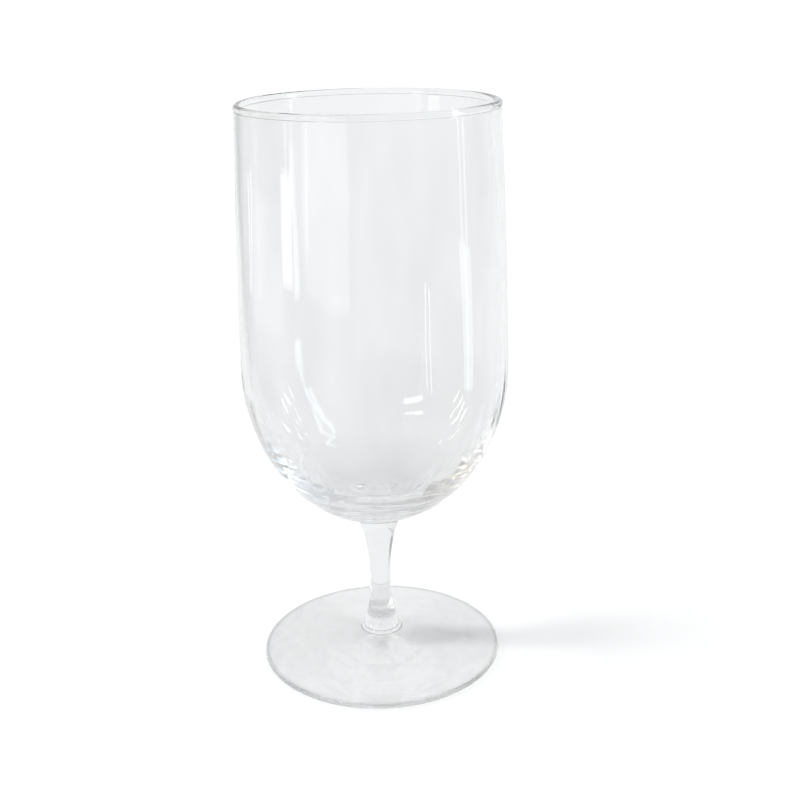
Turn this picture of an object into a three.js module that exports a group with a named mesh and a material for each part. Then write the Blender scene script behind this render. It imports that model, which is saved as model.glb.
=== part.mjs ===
// Aperitif glass: a tall tulip bowl on a short waisted stem and a thin round foot, all of clear glass.
// Millimetres, +Z up. The axis of the glass lies on Z and it stands on z = 0.
import * as THREE from "three";

// Facets round the axis, the same for every piece so that the welded faces match
const FACETS = 64;

// Foot: a shallow cone with a thin edge that stands on a flat ring and ends in a boss under the stem
const FOOT_RADIUS = 36;
const FOOT_EDGE = 1.6; // thickness of the rounded edge
const RING_WIDTH = 7; // flat ring underneath that stands on the table
const DISH_DEPTH = 0.8; // hollow underneath, inside the ring
const CROWN_HEIGHT = 5.6; // top of the cone where the boss starts to rise
const CROWN_RADIUS = 7.4; // radius where the boss starts to rise
const BOSS_HEIGHT = 8.5; // weld of foot and stem above the table
const BOSS_RADIUS = 5.5; // radius at that weld
const BOSS_LEAN = 0.42; // radius lost per millimetre of height at that weld
const BOSS_ROUND = 1.7; // height over which the boss bends outwards

// Stem: solid, waisted, with a flare at each end
const STEM_LENGTH = 37.5;
const WAIST_RADIUS = 3;
const WAIST_LEVEL = 14.5; // narrowest level above the lower weld
const WAIST_STRAIGHT_BELOW = 7.5; // stretch below the waist that stays nearly straight
const WAIST_STRAIGHT_ABOVE = 13; // the same above the waist
const STEM_TOP_RADIUS = 8.5; // radius at the weld of stem and bowl
const TOP_FLARE = 2.6; // how far the flare spreads along the bottom of the bowl

// Bowl: an elliptical bottom that runs into a wall drawn in towards the rim
const BOWL_HEIGHT = 119.5; // from the weld to the top of the rim
const RIM_RADIUS = 36; // outside of the rim bead
const RIM_WALL = 1.9; // wall just under the bead
const BEAD_SWELL = 0.18; // how far the bead stands out from the wall on each side
const WIDEST_RADIUS = 38.2;
const WIDEST_LEVEL = 46; // widest level above the weld
const WIDEST_WALL = 2.1;
const WALL_BEND = 12; // height over which the wall bends from upright to drawn in
const BOTTOM_THICKNESS = 4.2; // glass on the axis, from the weld to the inside

// The outside of the bowl's bottom is an ellipse that passes through the edge of the weld.
const WELD_ANGLE = Math.acos(STEM_TOP_RADIUS / WIDEST_RADIUS);
const BOTTOM_DEPTH = WIDEST_LEVEL / Math.sin(WELD_ANGLE);
const WELD_SLOPE = BOTTOM_DEPTH / WIDEST_RADIUS / Math.tan(WELD_ANGLE);

// Seats: each piece stands on the weld of the one below.
const STEM_SEAT = BOSS_HEIGHT;
const BOWL_SEAT = STEM_SEAT + STEM_LENGTH;

function footOutline() {
  const edgeCentre = FOOT_RADIUS - FOOT_EDGE / 2;
  const dishRadius = edgeCentre - RING_WIDTH;
  const coneSlope = (CROWN_HEIGHT - FOOT_EDGE) / (edgeCentre - CROWN_RADIUS);
  const riseRadius = BOSS_RADIUS + BOSS_ROUND;
  return new THREE.Path()
    .moveTo(0, DISH_DEPTH)
    .quadraticCurveTo(dishRadius / 2, DISH_DEPTH, dishRadius, 0)
    .lineTo(edgeCentre, 0)
    .absarc(edgeCentre, FOOT_EDGE / 2, FOOT_EDGE / 2, -Math.PI / 2, Math.PI / 2)
    .lineTo(CROWN_RADIUS, CROWN_HEIGHT)
    .bezierCurveTo(
      riseRadius,
      CROWN_HEIGHT + coneSlope * (CROWN_RADIUS - riseRadius),
      BOSS_RADIUS + BOSS_LEAN * BOSS_ROUND,
      BOSS_HEIGHT - BOSS_ROUND,
      BOSS_RADIUS,
      BOSS_HEIGHT,
    )
    .lineTo(0, BOSS_HEIGHT);
}

function stemOutline() {
  return new THREE.Path()
    .moveTo(0, 0)
    .lineTo(BOSS_RADIUS, 0)
    .bezierCurveTo(
      BOSS_RADIUS - BOSS_LEAN * BOSS_ROUND,
      BOSS_ROUND,
      WAIST_RADIUS,
      WAIST_LEVEL - WAIST_STRAIGHT_BELOW,
      WAIST_RADIUS,
      WAIST_LEVEL,
    )
    .bezierCurveTo(
      WAIST_RADIUS,
      WAIST_LEVEL + WAIST_STRAIGHT_ABOVE,
      STEM_TOP_RADIUS - TOP_FLARE,
      STEM_LENGTH - TOP_FLARE * WELD_SLOPE,
      STEM_TOP_RADIUS,
      STEM_LENGTH,
    )
    .lineTo(0, STEM_LENGTH);
}

function bowlOutline() {
  const innerRadius = WIDEST_RADIUS - WIDEST_WALL;
  const innerDepth = WIDEST_LEVEL - BOTTOM_THICKNESS;
  const bendLevel = WIDEST_LEVEL + WALL_BEND;

  // The rim bead is a round bar that the two faces of the wall run into.
  const beadRadius = RIM_WALL / 2 + BEAD_SWELL;
  const beadCentre = RIM_RADIUS - beadRadius;
  const beadLevel = BOWL_HEIGHT - beadRadius;
  const beadAngle = Math.acos(RIM_WALL / 2 / beadRadius);
  const beadFoot = beadLevel - beadRadius * Math.sin(beadAngle);

  return new THREE.Path()
    .moveTo(0, 0)
    .lineTo(STEM_TOP_RADIUS, 0)
    .absellipse(0, WIDEST_LEVEL, WIDEST_RADIUS, BOTTOM_DEPTH, -WELD_ANGLE, 0)
    .quadraticCurveTo(WIDEST_RADIUS, bendLevel, beadCentre + RIM_WALL / 2, beadFoot)
    .absarc(beadCentre, beadLevel, beadRadius, -beadAngle, Math.PI + beadAngle)
    .quadraticCurveTo(innerRadius, bendLevel, innerRadius, WIDEST_LEVEL)
    .absellipse(0, WIDEST_LEVEL, innerRadius, innerDepth, 0, -Math.PI / 2, true);
}

// One piece of glass turned about the axis of the glass, standing at the height of its seat
function turned(name, outline, curveSteps, seat) {
  const points = outline.getPoints(curveSteps);
  points.at(-1).setX(0);
  const geometry = new THREE.LatheGeometry(points, FACETS).rotateX(Math.PI / 2);
  const glass = new THREE.MeshStandardMaterial({
    color: 0xeef3f3,
    roughness: 0.04,
    metalness: 0,
    transparent: true,
    opacity: 0.35,
  });
  const mesh = new THREE.Mesh(geometry, glass);
  mesh.name = name;
  mesh.position.z = seat;
  return mesh;
}

const aperitifGlass = new THREE.Group();
aperitifGlass.add(turned("foot", footOutline(), 6, 0));
aperitifGlass.add(turned("stem", stemOutline(), 9, STEM_SEAT));
aperitifGlass.add(turned("bowl", bowlOutline(), 7, BOWL_SEAT));

export default aperitifGlass;
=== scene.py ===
# %% [markdown]
# # A clear aperitif glass
# The glass is three gathers of clear glass fused while hot: a tall tulip bowl, a short waisted
# stem and a thin round foot. Clear glass has no colour of its own to paint, so its look comes
# from three things: true curved walls on the inside and the outside, a bright ground behind it,
# and dark and bright things around it for its edges and its streaks to show.

# %% Load the frame
import math

import bmesh
import bpy
from mathutils import Euler, Matrix, Vector, noise
from mathutils.geometry import interpolate_bezier


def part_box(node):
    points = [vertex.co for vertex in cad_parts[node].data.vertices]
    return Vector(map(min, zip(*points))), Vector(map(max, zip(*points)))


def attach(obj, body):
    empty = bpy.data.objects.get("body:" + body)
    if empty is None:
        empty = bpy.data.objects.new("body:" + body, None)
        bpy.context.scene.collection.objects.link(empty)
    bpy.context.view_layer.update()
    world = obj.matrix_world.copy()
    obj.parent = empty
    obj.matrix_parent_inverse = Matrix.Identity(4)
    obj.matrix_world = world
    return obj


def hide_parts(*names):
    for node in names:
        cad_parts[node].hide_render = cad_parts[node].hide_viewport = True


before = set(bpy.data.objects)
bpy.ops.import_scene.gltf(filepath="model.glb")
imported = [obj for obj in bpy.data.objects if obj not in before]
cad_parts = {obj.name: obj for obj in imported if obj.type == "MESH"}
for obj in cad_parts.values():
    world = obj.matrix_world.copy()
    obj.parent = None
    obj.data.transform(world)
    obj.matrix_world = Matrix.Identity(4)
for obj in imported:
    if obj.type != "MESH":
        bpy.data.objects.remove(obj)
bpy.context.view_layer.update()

# %% [markdown]
# ## Sizes
# Heights and outer radii are read from the frame, so that the looks stay where the solids are.
# The walls, the waist and the levels inside a piece can't be read from a box, so they are
# written here once, in metres. The crown is the place where the cone of the foot ends and its
# boss starts. It lies a little higher and closer to the axis than on the plain solid.

# %% Sizes of the three pieces
MM = 0.001

FOOT_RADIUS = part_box("foot")[1].x
BOSS_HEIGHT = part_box("foot")[1].z
BOWL_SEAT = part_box("bowl")[0].z
RIM_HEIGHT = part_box("bowl")[1].z
WIDEST_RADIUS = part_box("bowl")[1].x
STEM_TOP_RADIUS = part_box("stem")[1].x

FOOT_EDGE = 1.6 * MM  # thickness of the rounded edge
RING_WIDTH = 7 * MM  # flat ring that stands on the table
DISH_DEPTH = 0.8 * MM  # hollow inside the ring
CROWN_HEIGHT = 7.2 * MM  # where the cone ends and the boss starts
CROWN_RADIUS = 6.9 * MM
CROWN_ROUND = 0.8 * MM  # reach of the bend from the cone to the boss
BOSS_RADIUS = 5.5 * MM  # at the weld of foot and stem
BOSS_LEAN = 0.42  # radius lost per unit of height at that weld
BOSS_ROUND = 1.7 * MM  # reach of the bend above that weld
WAIST_RADIUS = 3 * MM
WAIST_HEIGHT = BOSS_HEIGHT + 14.5 * MM
WAIST_STRAIGHT_BELOW = 7.5 * MM  # stretch below the waist that stays nearly upright
WAIST_STRAIGHT_ABOVE = 13 * MM  # the same above the waist
TOP_FLARE = 2.6 * MM  # how far the flare spreads along the bottom of the bowl
RIM_RADIUS = 36 * MM  # outside of the rim bead
RIM_WALL = 1.9 * MM  # wall just under the bead
BEAD_SWELL = 0.18 * MM  # how far the bead stands out from each face of the wall
NECK_ROUND = 0.25 * MM  # length of the soft corner between wall and bead
WIDEST_HEIGHT = BOWL_SEAT + 46 * MM
WIDEST_WALL = 2.1 * MM
WALL_BEND = 12 * MM  # height over which the wall bends from upright to drawn in
BOTTOM_THICKNESS = 4.2 * MM  # glass on the axis, from the weld to the inside

WELD_ANGLE = math.acos(STEM_TOP_RADIUS / WIDEST_RADIUS)
BOTTOM_DEPTH = (WIDEST_HEIGHT - BOWL_SEAT) / math.sin(WELD_ANGLE)
WELD_SLOPE = BOTTOM_DEPTH / WIDEST_RADIUS / math.tan(WELD_ANGLE)
print(f"the bowl starts {BOWL_SEAT / MM:.1f} mm and ends {RIM_HEIGHT / MM:.1f} mm above the table")

# %% [markdown]
# ## Drawing half a glass
# Every piece is turned on the glassmaker's bench, so half of its section says all about it. The
# half section is drawn in the XZ plane as a chain of smooth stretches. An arc could be made of
# many short edges by hand, but a few small helpers keep the drawing readable: one for parts of a
# circle or an ellipse, one for a free curve with a handle at each end, and one for a gentle bow.

# %% Helpers that draw one stretch of a half section
CURVE_STEPS = 28
LONG_CURVE_STEPS = 2 * CURVE_STEPS


def at(radius, height):
    """A point of the half section, in the XZ plane."""
    return Vector((radius, 0, height))


def arc(centre, across, up, start, end, steps=CURVE_STEPS):
    """Points on part of a circle or an ellipse about a centre of the half section."""
    angles = [start + (end - start) * i / steps for i in range(steps + 1)]
    return [centre + at(across * math.cos(a), up * math.sin(a)) for a in angles]


def curve(start, handle, other_handle, end, steps=CURVE_STEPS):
    """Points on a free curve that leaves and arrives along its handles."""
    return interpolate_bezier(start, handle, other_handle, end, steps + 1)


def bow(start, corner, end):
    """Points on a gentle bow whose two ends both aim at one corner."""
    return curve(start, start.lerp(corner, 2 / 3), end.lerp(corner, 2 / 3), end)


# %% [markdown]
# ## Turning it
# bmesh's spin operator sweeps the half section once round the Z axis. With use_merge the last
# step is joined to the first, and removing doubles closes the poles on the axis. Glass shows
# every facet, because it bends what is behind it, so the sweep has many steps and the faces are
# shaded smooth. Only the flat weld faces stay flat, with a sharp edge around them.

# %% Helper that turns a half section into a closed piece
TURN_STEPS = 256
SAME_POINT = 1e-7


def turned(outline, weld_heights):
    """A closed piece turned from a half section.

    The flat discs at the weld heights take the second material of the piece.
    """
    bm = bmesh.new()
    points = [outline[0]]
    for point in outline[1:]:
        if (point - points[-1]).length > SAME_POINT:
            points.append(point)
    verts = [bm.verts.new(point) for point in points]
    edges = [bm.edges.new(pair) for pair in zip(verts, verts[1:])]
    bmesh.ops.spin(bm, geom=verts + edges, cent=(0, 0, 0), axis=(0, 0, 1), dvec=(0, 0, 0),
                   angle=math.tau, steps=TURN_STEPS, use_merge=True)
    bmesh.ops.remove_doubles(bm, verts=bm.verts[:], dist=SAME_POINT)
    bmesh.ops.recalc_face_normals(bm, faces=bm.faces[:])
    for face in bm.faces:
        face.smooth = True
        level = face.calc_center_median().z
        if any(abs(level - height) < SAME_POINT for height in weld_heights):
            face.material_index = 1
            face.smooth = False
    for edge in bm.edges:
        if len({face.material_index for face in edge.link_faces}) > 1:
            edge.smooth = False
    return bm


# %% [markdown]
# A finished piece stands for the solid of the same name: it rides on the same body, takes the
# place of the solid, and gets its materials.

# %% Helpers that put a finished piece into the scene
def placed(name, data):
    """A new object at the origin of the scene."""
    item = bpy.data.objects.new(name, data)
    bpy.context.scene.collection.objects.link(item)
    return item


def finished(bm, name, materials):
    """Makes the bmesh an object that stands for the CAD node of its name and moves with it."""
    mesh = bpy.data.meshes.new(f"clear_{name}")
    bm.to_mesh(mesh)
    bm.free()
    for material in materials:
        mesh.materials.append(material)
    piece = placed(f"clear_{name}", mesh)
    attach(piece, "root")
    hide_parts(name)
    print(f"{piece.name}: {len(mesh.polygons)} faces")


# %% [markdown]
# ## Hand-made unevenness
# Blown glass is never quite true. The whole wall swings in and out a little, which makes the long
# reflections waver. Each face also has its own fine ribs from top to bottom, and the thick bottom
# has rings from the turning, so that what is seen through it breaks into lines. The inside is a
# little off centre, which makes one side of the wall thicker. A bump texture could fake some of
# it, but moving the vertices bends what is seen through the wall too.

# %% Helper that makes a blown wall uneven
SWING, SWING_ACROSS, SWING_UP = 0.13 * MM, 13 * MM, 34 * MM  # depth, length round and up the wall
RIB, RIB_ACROSS, RIB_UP = 0.025 * MM, 4.2 * MM, 45 * MM  # the same for the fine ribs
RIB_LOW = 0.14 * MM  # depth of the ribs at the bottom
RING, RING_APART, RING_ZONE = 0.45 * MM, 2.0 * MM, 22 * MM  # depth, distance and height of the rings
RING_WANDER = 0.7  # how much a ring changes on its way round
INSIDE_NOISE = 20  # the inside reads another part of the noise
OFF_CENTRE = 0.35 * MM  # how far the inside lies to the left


def uneven(bm, seat, widest):
    """Moves the faces of the bowl by smooth noise and leaves the weld as it is."""
    bm.normal_update()
    moves = {}
    for vert in bm.verts:
        flat = Vector((vert.co.x, vert.co.y, 0))
        height = vert.co.z - seat
        if flat.length < SAME_POINT or height < SAME_POINT:
            continue
        outward = flat.normalized()
        inside = vert.normal.dot(outward) < 0
        own = INSIDE_NOISE if inside else 0
        wall = min(height / (widest - seat), 1)
        round_trip = outward * WIDEST_RADIUS
        swing = noise.noise(round_trip / SWING_ACROSS + Vector((0, 0, height / SWING_UP)))
        rib = noise.noise(round_trip / RIB_ACROSS + Vector((own, 0, height / RIB_UP)))
        ring = noise.noise(Vector((own, 0, flat.length / RING_APART)) + outward * RING_WANDER)
        low = max(1 - height / RING_ZONE, 0) * min(height / RING_APART, 1)
        rib *= RIB + (RIB_LOW - RIB) * (1 - wall)
        moves[vert] = outward * wall * (SWING * swing + rib) + vert.normal * RING * ring * low
        if inside:
            moves[vert] += Vector((-OFF_CENTRE * wall, 0, 0))
    for vert, move in moves.items():
        vert.co += move


# %% [markdown]
# ## Small shader helpers
# A finish is a net of nodes, and it could be clicked together in the shader editor. Most of the
# nodes here are products, smooth fades and distances from the axis. Each of those gets a helper,
# so that a finish reads like a short calculation.

# %% Helpers that add nodes
HALF = 0.5


def maths(tree, operation, first, second=None, third=None):
    """A Math node fed by sockets or plain numbers. Returns its output."""
    node = tree.nodes.new("ShaderNodeMath")
    node.operation = operation
    for socket, value in zip(node.inputs, (first, second, third)):
        if isinstance(value, (int, float)):
            socket.default_value = value
        elif value is not None:
            tree.links.new(value, socket)
    return node.outputs[0]


def product(tree, total, *factors):
    """Sockets and plain numbers multiplied with one another."""
    for factor in factors:
        total = maths(tree, "MULTIPLY", total, factor)
    return total


def at_least(tree, count, limit):
    """1 where a whole number is the limit or more, otherwise 0."""
    return maths(tree, "GREATER_THAN", count, limit - HALF)


def at_most(tree, count, limit):
    """1 where a whole number is the limit or less, otherwise 0."""
    return maths(tree, "LESS_THAN", count, limit + HALF)


def fade(tree, value, start, end):
    """Goes smoothly from 0 where value is start to 1 where it is end."""
    node = tree.nodes.new("ShaderNodeMapRange")
    node.interpolation_type = "SMOOTHSTEP"
    tree.links.new(value, node.inputs["Value"])
    node.inputs["From Min"].default_value = start
    node.inputs["From Max"].default_value = end
    return node.outputs[0]


# %% Helpers that read places
def place_on(tree):
    """The place of the shaded point, on Object coordinates."""
    return tree.nodes.new("ShaderNodeTexCoord").outputs["Object"]


def parts_of(tree, vector):
    """The X, Y and Z of a vector, as sockets."""
    node = tree.nodes.new("ShaderNodeSeparateXYZ")
    tree.links.new(vector, node.inputs[0])
    return node.outputs


def vector_maths(tree, operation, first, second=None):
    """A Vector Math node fed by a socket and a plain vector. Returns its outputs."""
    node = tree.nodes.new("ShaderNodeVectorMath")
    node.operation = operation
    tree.links.new(first, node.inputs[0])
    if second is not None:
        node.inputs[1].default_value = second
    return node.outputs


def from_axis(tree, place):
    """The distance of a place from the axis of the glass."""
    flat = vector_maths(tree, "MULTIPLY", place, (1, 1, 0))["Vector"]
    return vector_maths(tree, "LENGTH", flat)["Value"]


# %% [markdown]
# ## Film, thick glass and painted shade
# Hands and cloths leave a thin streaky film on a glass, and thick glass takes more light than
# thin. A volume inside the glass could take the light, which is slow. Here the colour goes by the
# height instead: it is darkest in the collar above the foot, where a dark band is painted shade,
# and in the thick bottom of the bowl, which is partly the glass's own greyness and partly painted
# shade. It is nearly clear in the wall. The edge of the foot has a painted dark outline.

# %% Helpers for the film, the thick glass and the painted shade
FILM_STRETCH = 0.3  # below 1 the blotches are longer upwards
FILM_DETAIL = 5
FILM_LIMITS = (0.38, 0.66)  # noise where the film starts and where it is full
FILM_ROUGHNESS = 0.3
# Painted shade: the rounded edge of the foot is darkened for its dark outline
PAINTED_EDGE_SHADE = 0.78  # light left at the edge of the foot
GLASS_TINT = (0.996, 0.998, 1.0)
# Pairs of a height above the table and the share of the light that each face leaves there
FOOT_CLEARNESS = [(0, 0.995), (8 * MM, 0.985)]
# Painted shade: a dark band in the collar low in the stem
COLLAR_PAINTED_BAND = [(11.6 * MM, 0.97), (12.2 * MM, 0.62), (14 * MM, 0.62), (15 * MM, 0.92)]
STEM_CLEARNESS = [(20 * MM, 0.96), (45 * MM, 0.96)]
# Partly the thick glass's own greyness, partly painted shade in the thick bottom of the bowl
BOTTOM_CLEARNESS_AND_SHADE = [(47 * MM, 0.76), (54 * MM, 0.9), (60 * MM, 0.965)]
WALL_CLEARNESS = [(76 * MM, 0.975), (100 * MM, 0.985), (130 * MM, 0.995)]


def film_on(tree, place, amount, size):
    """The share of light that a film takes, in blotches that are longer upwards than across."""
    stretched = vector_maths(tree, "MULTIPLY", place, (1, 1, FILM_STRETCH))["Vector"]
    blotches = tree.nodes.new("ShaderNodeTexNoise")
    blotches.inputs["Detail"].default_value = FILM_DETAIL
    tree.links.new(stretched, blotches.inputs["Vector"])
    tree.links.new(maths(tree, "DIVIDE", 1, size), blotches.inputs["Scale"])
    return product(tree, fade(tree, blotches.outputs[0], *FILM_LIMITS), amount)


def clearness_and_painted_shade(tree, height):
    """The colour that the glass leaves to the light by height above the table, with painted shade in
    the collar and the thick bottom.
    """
    levels = FOOT_CLEARNESS + COLLAR_PAINTED_BAND + STEM_CLEARNESS + BOTTOM_CLEARNESS_AND_SHADE + WALL_CLEARNESS
    ramp = tree.nodes.new("ShaderNodeValToRGB")
    tree.links.new(maths(tree, "DIVIDE", height, RIM_HEIGHT), ramp.inputs["Fac"])
    stops = ramp.color_ramp.elements
    while len(stops) < len(levels):
        stops.new(HALF)
    for stop, (level, share) in zip(stops, levels):
        stop.position = level / RIM_HEIGHT
        stop.color = (*(share * part for part in GLASS_TINT), 1)
    return ramp.outputs["Color"]


def painted_edge_mask(tree, place, height):
    """1 on the rounded edge of the foot, where its dark outline is painted as shade, otherwise 0."""
    edge = fade(tree, from_axis(tree, place), FOOT_RADIUS - FOOT_EDGE, FOOT_RADIUS - FOOT_EDGE / 2)
    return product(tree, edge, maths(tree, "LESS_THAN", height, BOSS_HEIGHT))


# %% [markdown]
# All three pieces have the film, the darker thick places and the painted shade, so these are one
# node group, with the amount of film and the size of its blotches as inputs. The film is a little
# less glossy than the glass.

# %% Node group for the film and the painted shade
def film_and_painted_shade():
    group = bpy.data.node_groups.new("film_and_painted_shade", "ShaderNodeTree")
    face = group.interface
    face.new_socket("Film", in_out="INPUT", socket_type="NodeSocketFloat")
    face.new_socket("Size", in_out="INPUT", socket_type="NodeSocketFloat")
    face.new_socket("Color", in_out="OUTPUT", socket_type="NodeSocketColor")
    face.new_socket("Roughness", in_out="OUTPUT", socket_type="NodeSocketFloat")
    given = group.nodes.new("NodeGroupInput").outputs
    result = group.nodes.new("NodeGroupOutput").inputs

    place = place_on(group)
    height = parts_of(group, place)["Z"]
    film = film_on(group, place, given["Film"], given["Size"])
    # Painted shade on the edge of the foot, then the real film in blotches
    kept = maths(group, "MULTIPLY_ADD", painted_edge_mask(group, place, height), PAINTED_EDGE_SHADE - 1, 1)
    kept = product(group, kept, maths(group, "SUBTRACT", 1, film))
    colour = group.nodes.new("ShaderNodeVectorMath")
    colour.operation = "SCALE"
    group.links.new(clearness_and_painted_shade(group, height), colour.inputs[0])
    group.links.new(kept, colour.inputs["Scale"])
    group.links.new(colour.outputs[0], result["Color"])
    group.links.new(product(group, film, FILM_ROUGHNESS), result["Roughness"])
    return group


FILM_AND_PAINTED_SHADE = film_and_painted_shade()
print(f"node group {FILM_AND_PAINTED_SHADE.name}: {len(FILM_AND_PAINTED_SHADE.nodes)} nodes")

# %% [markdown]
# ## Lamp light through glass
# A path tracer finds the light that glass throws on the table only by luck, which is slow and
# grainy. So for shadow and diffuse rays a Mix Shader puts in a Transparent BSDF instead: a thin
# wall lets most of a lamp's light pass straight, and the solid stem, which would scatter it, lets
# little. The share goes by the distance from the axis, so that the thick bottom of the bowl and
# the edge of the foot throw a little more shadow than the rest.

# %% Helpers that let light through
def share_at(tree, stops):
    """Goes smoothly from one share to the next between the distances from the axis that are given."""
    radius = from_axis(tree, place_on(tree))
    (start, share), *others = stops
    total = maths(tree, "ADD", share, 0)
    for end, next_share in others:
        total = maths(tree, "MULTIPLY_ADD", fade(tree, radius, start, end), next_share - share, total)
        start, share = end, next_share
    return total


def let_lamps_through(material, shares):
    """Shadow and diffuse rays pass with a share of their light at each face."""
    tree = material.node_tree
    nodes, links = tree.nodes, tree.links
    path = nodes.new("ShaderNodeLightPath").outputs
    either = maths(tree, "MAXIMUM", path["Is Shadow Ray"], path["Is Diffuse Ray"])
    passing = nodes.new("ShaderNodeBsdfTransparent")
    links.new(share_at(tree, shares), passing.inputs["Color"])
    mix = nodes.new("ShaderNodeMixShader")
    links.new(either, mix.inputs["Fac"])
    links.new(nodes["Principled BSDF"].outputs[0], mix.inputs[1])
    links.new(passing.outputs[0], mix.inputs[2])
    links.new(mix.outputs[0], nodes["Material Output"].inputs["Surface"])


# %% [markdown]
# ## Clear glass
# The glass is one Principled BSDF with full transmission, with the index of refraction of
# soda-lime glass. The three pieces get a material each, because the film lies in large streaks on
# the blown bowl and in small spots on the pressed foot, and because they let lamps through
# differently. The two faces of a weld have melted into one another, so no light sees them.

# %% Glass and weld materials
GLASS_IOR = 1.52
# Pairs of a distance from the axis and the share of a lamp's light that each face lets through
BLOWN_SHARES = [(11 * MM, 0.93), (22 * MM, 0.992)]
DRAWN_SHARES = [(0, 0.4)]
PRESSED_SHARES = [(4 * MM, 0.95), (8 * MM, 1.0), (35 * MM, 1.0), (FOOT_RADIUS, 0.88)]


def clear_glass(name, lamp_shares, film, film_size):
    material = bpy.data.materials.new(name)
    material.use_nodes = True
    nodes, links = material.node_tree.nodes, material.node_tree.links
    film_and_shade = nodes.new("ShaderNodeGroup")
    film_and_shade.node_tree = FILM_AND_PAINTED_SHADE
    film_and_shade.inputs["Film"].default_value = film
    film_and_shade.inputs["Size"].default_value = film_size
    shader = nodes["Principled BSDF"]
    links.new(film_and_shade.outputs["Color"], shader.inputs["Base Color"])
    links.new(film_and_shade.outputs["Roughness"], shader.inputs["Roughness"])
    shader.inputs["IOR"].default_value = GLASS_IOR
    shader.inputs["Transmission Weight"].default_value = 1
    let_lamps_through(material, lamp_shares)
    print(f"{name}: film in blotches of {film_size / MM:.1f} mm")
    return material


def fused_weld():
    material = bpy.data.materials.new("fused_weld")
    material.use_nodes = True
    shader = material.node_tree.nodes["Principled BSDF"]
    shader.inputs["Alpha"].default_value = 0
    return material


WELD = fused_weld()
BLOWN = [clear_glass("blown_glass", BLOWN_SHARES, film=0.04, film_size=14 * MM), WELD]
DRAWN = [clear_glass("drawn_glass", DRAWN_SHARES, film=0.02, film_size=8 * MM), WELD]
PRESSED = [clear_glass("pressed_glass", PRESSED_SHARES, film=0.05, film_size=3.2 * MM), WELD]

# %% [markdown]
# ## The foot
# A shallow cone with a thin rounded edge. It stands on a flat ring, its middle is dished
# underneath, and its top ends in a small boss that the stem is fused to. A flattened cylinder
# with bevels could do from afar, but the edge and the boss are what the eye looks for.

# %% Foot
edge_centre = FOOT_RADIUS - FOOT_EDGE / 2
dish_radius = edge_centre - RING_WIDTH
cone_slope = (CROWN_HEIGHT - FOOT_EDGE) / (edge_centre - CROWN_RADIUS)
rise_radius = BOSS_RADIUS + CROWN_ROUND
foot_outline = [
    *bow(at(0, DISH_DEPTH), at(dish_radius / 2, DISH_DEPTH), at(dish_radius, 0)),
    *arc(at(edge_centre, FOOT_EDGE / 2), FOOT_EDGE / 2, FOOT_EDGE / 2, -math.pi / 2, math.pi / 2),
    *curve(
        at(CROWN_RADIUS, CROWN_HEIGHT),
        at(rise_radius, CROWN_HEIGHT + cone_slope * (CROWN_RADIUS - rise_radius)),
        at(BOSS_RADIUS + BOSS_LEAN * CROWN_ROUND, BOSS_HEIGHT - CROWN_ROUND),
        at(BOSS_RADIUS, BOSS_HEIGHT),
    ),
    at(0, BOSS_HEIGHT),
]
finished(turned(foot_outline, [BOSS_HEIGHT]), "foot", PRESSED)

# %% [markdown]
# ## The stem
# Solid glass, drawn out while soft, so it is narrowest near its middle and flares at both ends.
# Its top flare runs smoothly into the rounded bottom of the bowl. Two free curves that meet at
# the waist, both upright there, give this form with few values.

# %% Stem
stem_outline = [
    at(0, BOSS_HEIGHT),
    *curve(
        at(BOSS_RADIUS, BOSS_HEIGHT),
        at(BOSS_RADIUS - BOSS_LEAN * BOSS_ROUND, BOSS_HEIGHT + BOSS_ROUND),
        at(WAIST_RADIUS, WAIST_HEIGHT - WAIST_STRAIGHT_BELOW),
        at(WAIST_RADIUS, WAIST_HEIGHT),
    ),
    *curve(
        at(WAIST_RADIUS, WAIST_HEIGHT),
        at(WAIST_RADIUS, WAIST_HEIGHT + WAIST_STRAIGHT_ABOVE),
        at(STEM_TOP_RADIUS - TOP_FLARE, BOWL_SEAT - TOP_FLARE * WELD_SLOPE),
        at(STEM_TOP_RADIUS, BOWL_SEAT),
        steps=LONG_CURVE_STEPS,
    ),
    at(0, BOWL_SEAT),
]
finished(turned(stem_outline, [BOSS_HEIGHT, BOWL_SEAT]), "stem", DRAWN)

# %% [markdown]
# ## The bowl
# The outside of its bottom is part of an ellipse, and above the widest level the wall leans in
# towards the rim. The inside has its own ellipse, so that the wall is thin at the side and the
# bottom is thick, as it is where the blown bubble sits on the stem. A Solidify modifier could
# give a wall, but one of the same thickness everywhere. The rim was melted over a flame, which
# rounds it.

# %% Bowl
CUBIC_CM = 1e-6

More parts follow.
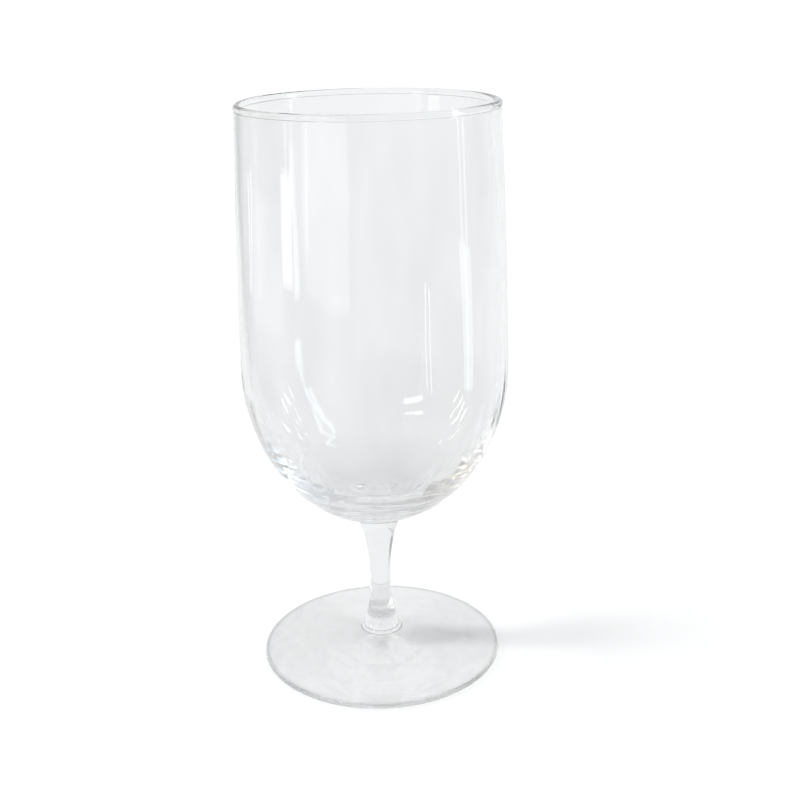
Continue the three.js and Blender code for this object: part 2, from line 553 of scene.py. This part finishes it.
inner_radius = WIDEST_RADIUS - WIDEST_WALL
inner_depth = WIDEST_HEIGHT - BOWL_SEAT - BOTTOM_THICKNESS
bend_height = WIDEST_HEIGHT + WALL_BEND
bead_radius = RIM_WALL / 2 + BEAD_SWELL
bead_centre = at(RIM_RADIUS - bead_radius, RIM_HEIGHT - bead_radius)
bead_angle = math.acos(RIM_WALL / 2 / bead_radius)
bead = arc(bead_centre, bead_radius, bead_radius, -bead_angle, math.pi + bead_angle)
outer_wall = bow(at(WIDEST_RADIUS, WIDEST_HEIGHT), at(WIDEST_RADIUS, bend_height), bead[0])
inner_wall = bow(bead[-1], at(inner_radius, bend_height), at(inner_radius, WIDEST_HEIGHT))
widest = at(0, WIDEST_HEIGHT)
bowl_outline = [
    at(0, BOWL_SEAT),
    *arc(widest, WIDEST_RADIUS, BOTTOM_DEPTH, -WELD_ANGLE, 0, LONG_CURVE_STEPS),
    *outer_wall[:-1],
    outer_wall[-1].lerp(outer_wall[-2], NECK_ROUND / (outer_wall[-1] - outer_wall[-2]).length),
    *bead,
    inner_wall[0].lerp(inner_wall[1], NECK_ROUND / (inner_wall[0] - inner_wall[1]).length),
    *inner_wall[1:],
    *arc(widest, inner_radius, inner_depth, 0, -math.pi / 2, LONG_CURVE_STEPS),
]
bowl_mesh = turned(bowl_outline, [BOWL_SEAT])
uneven(bowl_mesh, BOWL_SEAT, WIDEST_HEIGHT)
print(f"the bowl is made of {bowl_mesh.calc_volume() / CUBIC_CM:.1f} cubic centimetres of glass")
finished(bowl_mesh, "bowl", BLOWN)

# %% [markdown]
# ## Floor
# The glass stands on a wide white floor that fills the picture and takes its shadow. A part of
# the floor's brightness is given only to the camera, and less to what glass shows, so it is white
# there without more light on the glass. A clear glass before plain white would have no edges, so
# what glass shows of the floor is white only in a strip that widens to the back. Beside the strip
# and in front of it the floor is grey, and two of its corners are darker. A dark sector at the
# back left draws the dark flank of the stem. It is seen only by light that went straight through
# the stem or one wall, so that it isn't seen through both walls of the bowl.

# %% Shades of the floor
FLOOR_WHITE = 0.78
FLOOR_GREY = 0.7
FLOOR_ROUGHNESS = 0.9
CAMERA_LIFT = 0.15  # brightness that only the camera sees
GLASS_LIFT = 0.045  # brightness that glass shows
STRIP_HALF_WIDTH = 0.135  # beside the glass
STRIP_SPREAD = 0.335  # how much the half width grows per metre to the back
STRIP_FRONT = -0.10
STRIP_FADE = 0.12
CORNER_SHADE = 0.25
SECTOR_WAY = (-0.85, 0.53, 0)
SECTOR_SHADE = 0.5
SECTOR_NEAR = (0.04, 0.14)  # distances from the axis between which it starts
SECTOR_FAR = (0.4, 0.34)  # distances between which it ends
SECTOR_EDGE = (0.94, 0.98)  # cosines of the angles between which it starts
ONE_WALL = 2  # faces that light passes in one wall


def white_part(tree, place, path):
    """1 where the floor is white: everywhere for the camera, in the strip for all else."""
    parts = parts_of(tree, place)
    half_width = maths(tree, "MULTIPLY_ADD", parts["Y"], STRIP_SPREAD, STRIP_HALF_WIDTH)
    beside = maths(tree, "SUBTRACT", maths(tree, "ABSOLUTE", parts["X"]), half_width)
    sides = fade(tree, beside, STRIP_FADE, 0)
    front = fade(tree, parts["Y"], STRIP_FRONT - STRIP_FADE, STRIP_FRONT)
    return maths(tree, "MAXIMUM", product(tree, sides, front), path["Is Camera Ray"])


def grey_part(tree, way):
    """The grey of the floor, lighter and darker in turn from corner to corner."""
    parts = parts_of(tree, way)
    corner = product(tree, parts["X"], parts["Y"])
    return maths(tree, "MULTIPLY_ADD", corner, CORNER_SHADE, FLOOR_GREY)


def dark_sector(tree, place, way, path):
    """1 in the sector at the back left, for light that went straight through one wall."""
    far = from_axis(tree, place)
    toward = vector_maths(tree, "DOT_PRODUCT", way, SECTOR_WAY)["Value"]
    ring = product(tree, fade(tree, far, *SECTOR_NEAR), fade(tree, far, *SECTOR_FAR))
    straight = at_most(tree, path["Glossy Depth"], 0)
    once = at_most(tree, path["Transmission Depth"], ONE_WALL)
    seen = product(tree, straight, once, path["Is Transmission Ray"])
    return product(tree, ring, fade(tree, toward, *SECTOR_EDGE), seen)


# %% Floor
FLOOR_GAP = 0.15 * MM
FLOOR_RADIUS = 12.0
FLOOR_SIDES = 128


def white_floor():
    material = bpy.data.materials.new("white_floor")
    material.use_nodes = True
    tree = material.node_tree
    shader = tree.nodes["Principled BSDF"]
    shader.inputs["Roughness"].default_value = FLOOR_ROUGHNESS
    shader.inputs["Specular IOR Level"].default_value = 0
    shader.inputs["Emission Color"].default_value = (1, 1, 1, 1)

    path = tree.nodes.new("ShaderNodeLightPath").outputs
    place = place_on(tree)
    way = vector_maths(tree, "NORMALIZE", place)["Vector"]
    white = white_part(tree, place, path)
    grey = grey_part(tree, way)
    shade = maths(tree, "ADD", grey, product(tree, white, maths(tree, "SUBTRACT", FLOOR_WHITE, grey)))
    sector = dark_sector(tree, place, way, path)
    shade = maths(tree, "MULTIPLY_ADD", sector, -SECTOR_SHADE, shade)
    tree.links.new(shade, shader.inputs["Base Color"])

    shown = maths(tree, "MAXIMUM", path["Is Glossy Ray"], path["Is Transmission Ray"])
    camera_lift = product(tree, path["Is Camera Ray"], CAMERA_LIFT)
    lift = maths(tree, "MULTIPLY_ADD", shown, GLASS_LIFT, camera_lift)
    tree.links.new(product(tree, lift, white), shader.inputs["Emission Strength"])
    return material


def floor_disc():
    bm = bmesh.new()
    bmesh.ops.create_circle(bm, cap_ends=True, segments=FLOOR_SIDES, radius=FLOOR_RADIUS,
                            matrix=Matrix.Translation((0, 0, -FLOOR_GAP)))
    mesh = bpy.data.meshes.new("white_floor")
    bm.to_mesh(mesh)
    bm.free()
    mesh.materials.append(white_floor())
    return placed("white_floor", mesh)


floor_disc()
print(f"floor: a disc of {FLOOR_RADIUS:.0f} m radius, {FLOOR_GAP / MM:.2f} mm below the foot")

# %% [markdown]
# ## Lamps for the streaks
# The bright streaks and dashes in a glass are windows and lamps of the room, mirrored in its
# walls. The upright wall of the bowl only mirrors things that stand low, so the panels that draw
# long streaks stand near the floor. These lamps light only what is glossy. A photograph of a room
# on the world could do the same, but a few lamps can be moved until each streak lies where it
# should. A lamp counts how often its light went through glass: some are seen only in the near
# wall, others only in the far wall, so that one lamp draws one streak. Two colour the thick bottom,
# where light runs on inside the glass. They are seen only after several reflections.

# %% Colours of the lamps and ways through the glass
WHITE = (1, 1, 1)
COOL = (0.86, 0.94, 1.0)
WARM = (1.0, 0.92, 0.66)
SKY = (0.5, 0.8, 1.0)
MANY = 64
ANY_WALL = (0, MANY)
NEAR_WALL = (0, 2)  # fewest and most faces of glass that the light has passed
FAR_WALL = (3, MANY)
INSIDE_GLASS = 6  # reflections after which light has run on inside the glass
print(f"lamps in the near wall are seen after {NEAR_WALL[1]} passages at most, and those in the far"
      f" wall after {FAR_WALL[0]} at least")


# %% Helpers for the lamps
def way_to(azimuth, elevation):
    """The way from the glass to a lamp, azimuth degrees to the right of the view from the front."""
    turn, rise = math.radians(azimuth), math.radians(elevation)
    return Vector((math.sin(turn), -math.cos(turn), math.tan(rise)))


def window(name, azimuth, elevation, distance, width, height, radiance,
           colour=WHITE, passages=ANY_WALL, guided=0):
    """A lamp that faces the glass, in metres and degrees.

    Only glossy and glassy faces see it, after a number of passages through glass between the two
    that are given, and after no fewer than guided reflections.
    """
    lamp = bpy.data.lights.new(name, "AREA")
    lamp.shape = "RECTANGLE"
    lamp.size, lamp.size_y = width, height
    lamp.energy = radiance * math.pi * width * height
    lamp.color = colour
    lamp.use_nodes = True
    tree = lamp.node_tree
    path = tree.nodes.new("ShaderNodeLightPath").outputs
    least, most = passages
    deep = at_least(tree, path["Transmission Depth"], least)
    shallow = at_most(tree, path["Transmission Depth"], most)
    mirrored = at_least(tree, path["Glossy Depth"], guided)
    tree.links.new(product(tree, deep, shallow, mirrored), tree.nodes["Emission"].inputs["Strength"])

    item = placed(name, lamp)
    way = way_to(azimuth, elevation)
    item.location = way * distance
    item.rotation_euler = way.to_track_quat("Z", "Y").to_euler()
    item.visible_camera = False
    item.visible_diffuse = False
    return item


def panel(name, azimuth, distance, width, height, radiance,
          colour=WHITE, lower_end=0, passages=ANY_WALL):
    """A window that stands upright with its lower end at a height above the floor."""
    item = window(name, azimuth, 0, distance, width, height, radiance, colour, passages)
    item.location.z = lower_end + height / 2


# %% Panels at the left and right
panel("left_window", azimuth=-70, distance=0.48, width=0.1, height=0.08, radiance=1.8,
      lower_end=0.03, passages=NEAR_WALL)
panel("left_crack", azimuth=-70, distance=0.48, width=0.012, height=0.3, radiance=1.2,
      lower_end=0.1, passages=NEAR_WALL)
panel("left_wall", azimuth=-35, distance=0.6, width=0.43, height=0.5, radiance=0.5,
      passages=NEAR_WALL)
panel("left_table", azimuth=-95, distance=0.45, width=0.3, height=0.09, radiance=0.22,
      passages=NEAR_WALL)
panel("left_gap", azimuth=-51, distance=0.55, width=0.012, height=0.55, radiance=1.0,
      lower_end=0.05)
panel("left_thread", azimuth=-118, distance=0.45, width=0.014, height=0.075, radiance=1.4,
      lower_end=0.022, passages=NEAR_WALL)
panel("right_thread", azimuth=44, distance=0.2, width=0.0025, height=0.05, radiance=4.2,
      lower_end=0.042, passages=NEAR_WALL)
panel("right_pane_low", azimuth=82, distance=0.3, width=0.034, height=0.085, radiance=2.0,
      colour=COOL)
panel("right_bar", azimuth=82, distance=0.3, width=0.01, height=0.16, radiance=2.0, colour=COOL)
panel("right_pane_high", azimuth=80, distance=0.3, width=0.042, height=0.25, radiance=3.6,
      colour=COOL, lower_end=0.16)

# %% Strip, slits and the lamps inside the thick bottom
STRIP_LAMP_ROLL = math.radians(25)
RIGHT_SLITS = (98, 106, 114, 122, 131)
LEFT_SLITS = (-98, -106, -113, -120)

strip = window("strip", azimuth=-49, elevation=34, distance=1.0, width=0.42, height=0.1, radiance=6.0)
strip.rotation_euler.rotate_axis("Z", STRIP_LAMP_ROLL)
for azimuth in RIGHT_SLITS:
    window(f"right_slit_{azimuth}", azimuth, elevation=14, distance=0.8, width=0.024, height=0.1,
           radiance=7.0, colour=COOL, passages=FAR_WALL)
for azimuth in LEFT_SLITS:
    window(f"left_slit_{-azimuth}", azimuth, elevation=15, distance=1.0, width=0.03, height=0.13,
           radiance=8.0, passages=FAR_WALL)
window("warm_lamp", azimuth=-96, elevation=22, distance=1.0, width=0.35, height=0.2, radiance=1.3,
       colour=WARM, guided=INSIDE_GLASS)
window("right_sky", azimuth=60, elevation=21, distance=1.0, width=1.5, height=0.4, radiance=0.3,
       colour=SKY, guided=INSIDE_GLASS)
print(f"{len(bpy.data.lights)} lamps for streaks, dashes and colours")

# %% [markdown]
# ## Key light
# A soft far light at the left throws the shadow of the glass to the right. A sun lamp gives it the
# same way everywhere, and its angle makes the edge of the shadow soft. Glass doesn't show it,
# because the streaks have lamps of their own.

# %% Key light
KEY_AZIMUTH = -86
KEY_ELEVATION = 32
KEY_STRENGTH = 2.6
KEY_ANGLE = 0.28

key = bpy.data.lights.new("key", "SUN")
key.energy = KEY_STRENGTH
key.angle = KEY_ANGLE
key_item = placed("key", key)
key_item.rotation_euler = way_to(KEY_AZIMUTH, KEY_ELEVATION).to_track_quat("Z", "Y").to_euler()
key_item.visible_glossy = False
key_item.visible_transmission = False
print(f"key light {KEY_ELEVATION} degrees above the floor, {math.degrees(KEY_ANGLE):.0f} degrees wide")

# %% [markdown]
# ## Room around the glass
# The world is a plain bright room, a little lighter at the back and at the right, warm at the left
# and cool at the right. High at the back it has a darker stretch, because the wall of the glass
# needs something dark to show where it turns away from the floor.

# %% Room around the glass
ROOM_LEVEL = 0.79
ROOM_TILT = (0.1, 0.2, 0)
ROOM_COLOURS = [(1.0, 0.985, 0.95, 1), (0.9, 0.95, 1.0, 1)]
DARK_BACK = 0.45
BACK_FROM = (0.2, 0.33)  # sines of the elevations where the dark stretch starts
BACK_UP_TO = (0.8, 0.65)  # sines of the elevations where it ends
BACK_DEPTH = (0.2, 0.6)  # how far a direction points to the back where it starts


def room():
    world = bpy.data.worlds.new("room")
    world.use_nodes = True
    tree = world.node_tree
    background = tree.nodes["Background"].inputs
    way = tree.nodes.new("ShaderNodeTexCoord").outputs["Generated"]
    parts = parts_of(tree, way)

    low = fade(tree, parts["Z"], *BACK_FROM)
    high = fade(tree, parts["Z"], *BACK_UP_TO)
    dark = product(tree, low, high, fade(tree, parts["Y"], *BACK_DEPTH))
    slope = vector_maths(tree, "DOT_PRODUCT", way, ROOM_TILT)["Value"]
    level = maths(tree, "ADD", slope, ROOM_LEVEL)
    tree.links.new(maths(tree, "MULTIPLY_ADD", dark, -DARK_BACK, level), background["Strength"])

    tint = tree.nodes.new("ShaderNodeValToRGB")
    tree.links.new(maths(tree, "MULTIPLY_ADD", parts["X"], HALF, HALF), tint.inputs["Fac"])
    for stop, colour in zip(tint.color_ramp.elements, ROOM_COLOURS):
        stop.color = colour
    tree.links.new(tint.outputs["Color"], background["Color"])
    return world


bpy.context.scene.world = room()
print(f"room: level {ROOM_LEVEL}, {DARK_BACK} less in the dark stretch at the back")

# %% [markdown]
# ## Camera
# The camera's place comes from the outlines of rim, wall and foot in the photograph: it looks
# down at the glass from a little above the rim, close enough for the foot to open to a wide
# ellipse while the rim stays a narrow one.

# %% Camera
IMAGE_SIDE = 800
FOCAL_PIXELS = 1231
SENSOR_WIDTH = 36
CAMERA_PLACE = (7.0 * MM, -336.5 * MM, 198.6 * MM)
CLIP_START = 10 * MM
PITCH = math.radians(19.35)
ROLL = math.radians(-1.11)

camera_data = bpy.data.cameras.new("camera")
camera_data.sensor_width = SENSOR_WIDTH
camera_data.lens = SENSOR_WIDTH * FOCAL_PIXELS / IMAGE_SIDE
camera_data.clip_start = CLIP_START
camera = placed("camera", camera_data)
camera.location = CAMERA_PLACE
tilt = Euler((math.pi / 2 - PITCH, 0, 0)).to_matrix() @ Matrix.Rotation(ROLL, 3, "Z")
camera.rotation_euler = tilt.to_euler()
bpy.context.scene.camera = camera
print(f"camera lens {camera_data.lens:.1f} mm")

# %% [markdown]
# ## Render settings and finish
# Light passes many faces on its way through the bowl, so the paths get enough bounces. Caustics
# are off, because the shadow rays already carry the light through the glass.

# %% Finish
scene = bpy.context.scene
scene.view_settings.view_transform = "Standard"
scene.cycles.max_bounces = 96
scene.cycles.transmission_bounces = MANY
scene.cycles.glossy_bounces = MANY
scene.cycles.transparent_max_bounces = 24
scene.cycles.caustics_reflective = False
scene.cycles.caustics_refractive = False
